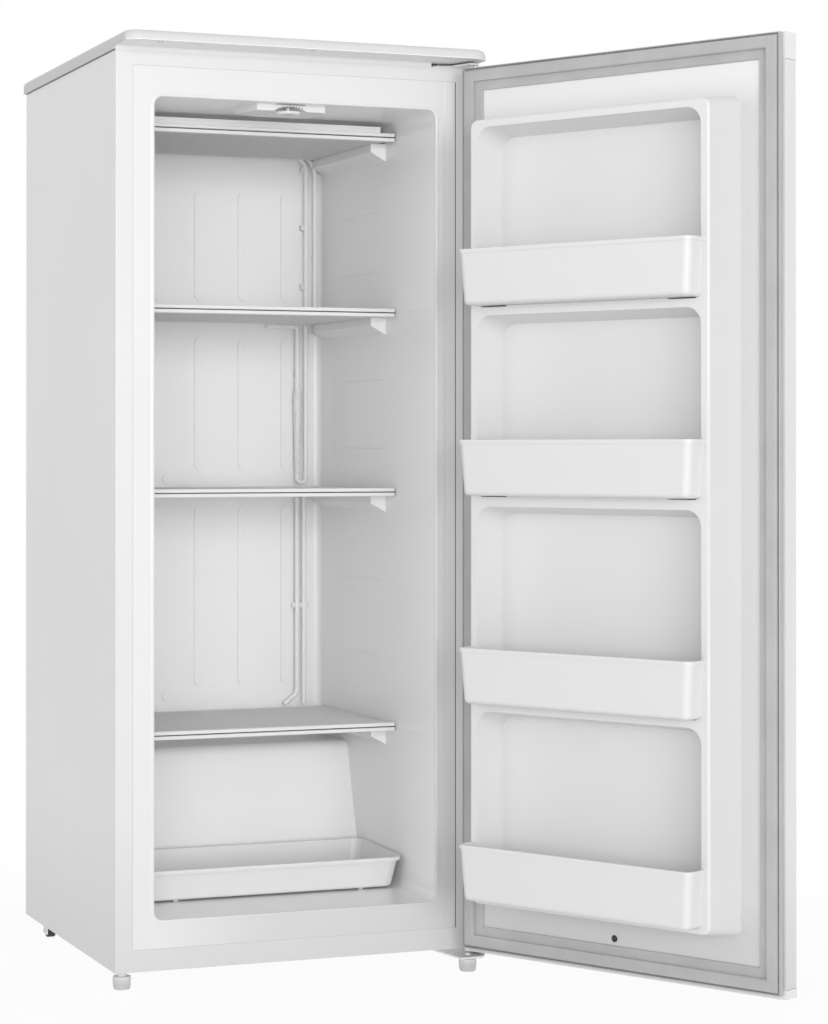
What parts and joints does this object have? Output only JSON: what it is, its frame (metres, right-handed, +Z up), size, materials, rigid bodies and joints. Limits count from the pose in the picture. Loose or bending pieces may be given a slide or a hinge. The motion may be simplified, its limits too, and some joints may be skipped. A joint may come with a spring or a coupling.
{
  "type": "upright freezer",
  "caption": "Free-standing white upright freezer with its door open: cold tube-and-wire shelves, a lift-out tray, door pockets with lift-off bins, feet and rollers",
  "frame": {"origin": "on the floor, midway between the cabinet's sides, under the plane of the cabinet's front face", "axes": "+X to the right seen from the front (the hinge side), +Y to the back, +Z up; the front faces -Y"},
  "size_m": [0.8895, 1.137, 1.48],
  "materials": {
    "white_enamel": "semi-gloss",
    "white_top": "satin",
    "white_liner": "satin",
    "white_plastic": "satin",
    "bin_plastic": "satin",
    "white_wire": "powder coated",
    "grey_rubber": "matt",
    "black_rubber": "matt",
    "foam": "rigid foam",
    "grey_steel": "galvanised",
    "bright_steel": "zinc plated",
    "grey_plastic": "matt",
    "dark_plastic": "matt",
    "black_enamel": "gloss",
    "copper": "drawn"
  },
  "bodies": {
    "cabinet": {"cabinet_shell": "white_enamel", "rear_panel": "grey_steel", "base_pan": "grey_steel", "bay_panel": "grey_steel", "compressor_deck": "grey_steel", "inner_liner": "white_liner", "cabinet_insulation": "foam", "condenser_tubing": "copper", "top_cover": "white_top", "cover_screws": "bright_steel", "top_hinge_plate": "white_enamel", "top_hinge_pin": "bright_steel", "top_hinge_screws": "bright_steel", "lower_hinge_bracket": "grey_steel", "lower_hinge_pin": "bright_steel", "lower_hinge_screws": "bright_steel", "roller_brackets": "grey_steel", "roller_axles": "bright_steel", "evaporator_shelf_1": "white_wire", "evaporator_shelf_2": "white_wire", "evaporator_shelf_3": "white_wire", "evaporator_shelf_4": "white_wire", "shelf_trims": "white_plastic", "top_shelf_baffle": "white_plastic", "riser_tubes": "white_wire", "tube_wrap": "white_plastic", "tube_clips": "white_plastic", "thermostat_housing": "white_plastic", "thermostat_body": "grey_plastic", "compressor_shell": "black_enamel", "compressor_mount_plate": "black_enamel", "compressor_grommets": "black_rubber", "relay_cover": "dark_plastic", "refrigerant_lines": "copper", "filter_drier": "copper", "cord_gland": "dark_plastic"},
    "door": {"door_skin": "white_enamel", "door_top_cap": "white_plastic", "door_bottom_cap": "white_plastic", "door_liner": "white_liner", "door_insulation": "foam", "door_gasket": "grey_rubber", "gasket_magnets": "dark_plastic", "door_handle_cup": "white_plastic", "hinge_bushes": "grey_plastic", "lock_sleeve": "bright_steel"},
    "lock": {"lock_barrel": "dark_plastic"},
    "dial": {"thermostat_knob": "white_plastic"},
    "tray": {"drip_tray": "bin_plastic"},
    "left_foot": {"front_left_foot": "white_plastic"},
    "right_foot": {"front_right_foot": "white_plastic"},
    "left_roller": {"rear_left_roller": "dark_plastic"},
    "right_roller": {"rear_right_roller": "dark_plastic"},
    "bin_1": {"door_bin_1": "bin_plastic"},
    "bin_2": {"door_bin_2": "bin_plastic"},
    "bin_3": {"door_bin_3": "bin_plastic"},
    "bin_4": {"door_bin_4": "bin_plastic"}
  },
  "joints": [
    {"name": "door_swing", "type": "hinge", "parent": "cabinet", "child": "door", "pos_m": [0.293, -0.032, 0.74], "axis": [0, 0, 1], "range_deg": [-118.2, 12]},
    {"name": "lock_turn", "type": "hinge", "parent": "door", "child": "lock", "pos_m": [0.44279, -0.27961, 0.0836], "axis": [0.8813, 0.4726, 0], "range_deg": [0, 90]},
    {"name": "dial_turn", "type": "hinge", "parent": "cabinet", "child": "dial", "pos_m": [-0.004, 0.037, 1.375], "axis": [0, 0, 1], "range_deg": [-150, 150]},
    {"name": "tray_slide", "type": "slide", "parent": "cabinet", "child": "tray", "axis": [0, -0.9996, -0.03], "range_m": [0, 0.19]},
    {"name": "bin_1_lift", "type": "slide", "parent": "door", "child": "bin_1", "axis": [0, 0, 1], "range_m": [0, 0.03]},
    {"name": "bin_2_lift", "type": "slide", "parent": "door", "child": "bin_2", "axis": [0, 0, 1], "range_m": [0, 0.03]},
    {"name": "bin_3_lift", "type": "slide", "parent": "door", "child": "bin_3", "axis": [0, 0, 1], "range_m": [0, 0.03]},
    {"name": "bin_4_lift", "type": "slide", "parent": "door", "child": "bin_4", "axis": [0, 0, 1], "range_m": [0, 0.03]},
    {"name": "left_foot_turn", "type": "hinge", "parent": "cabinet", "child": "left_foot", "pos_m": [-0.286, 0.012, 0.01], "axis": [0, 0, 1], "range_deg": [-720, 720]},
    {"name": "right_foot_turn", "type": "hinge", "parent": "cabinet", "child": "right_foot", "pos_m": [0.271, -0.052, 0.01], "axis": [0, 0, 1], "range_deg": [-720, 720]},
    {"name": "left_roller_roll", "type": "hinge", "parent": "cabinet", "child": "left_roller", "pos_m": [-0.279, 0.479, 0.0115], "axis": [1, 0, 0], "continuous": true},
    {"name": "right_roller_roll", "type": "hinge", "parent": "cabinet", "child": "right_roller", "pos_m": [0.279, 0.479, 0.0115], "axis": [1, 0, 0], "continuous": true}
  ]
}
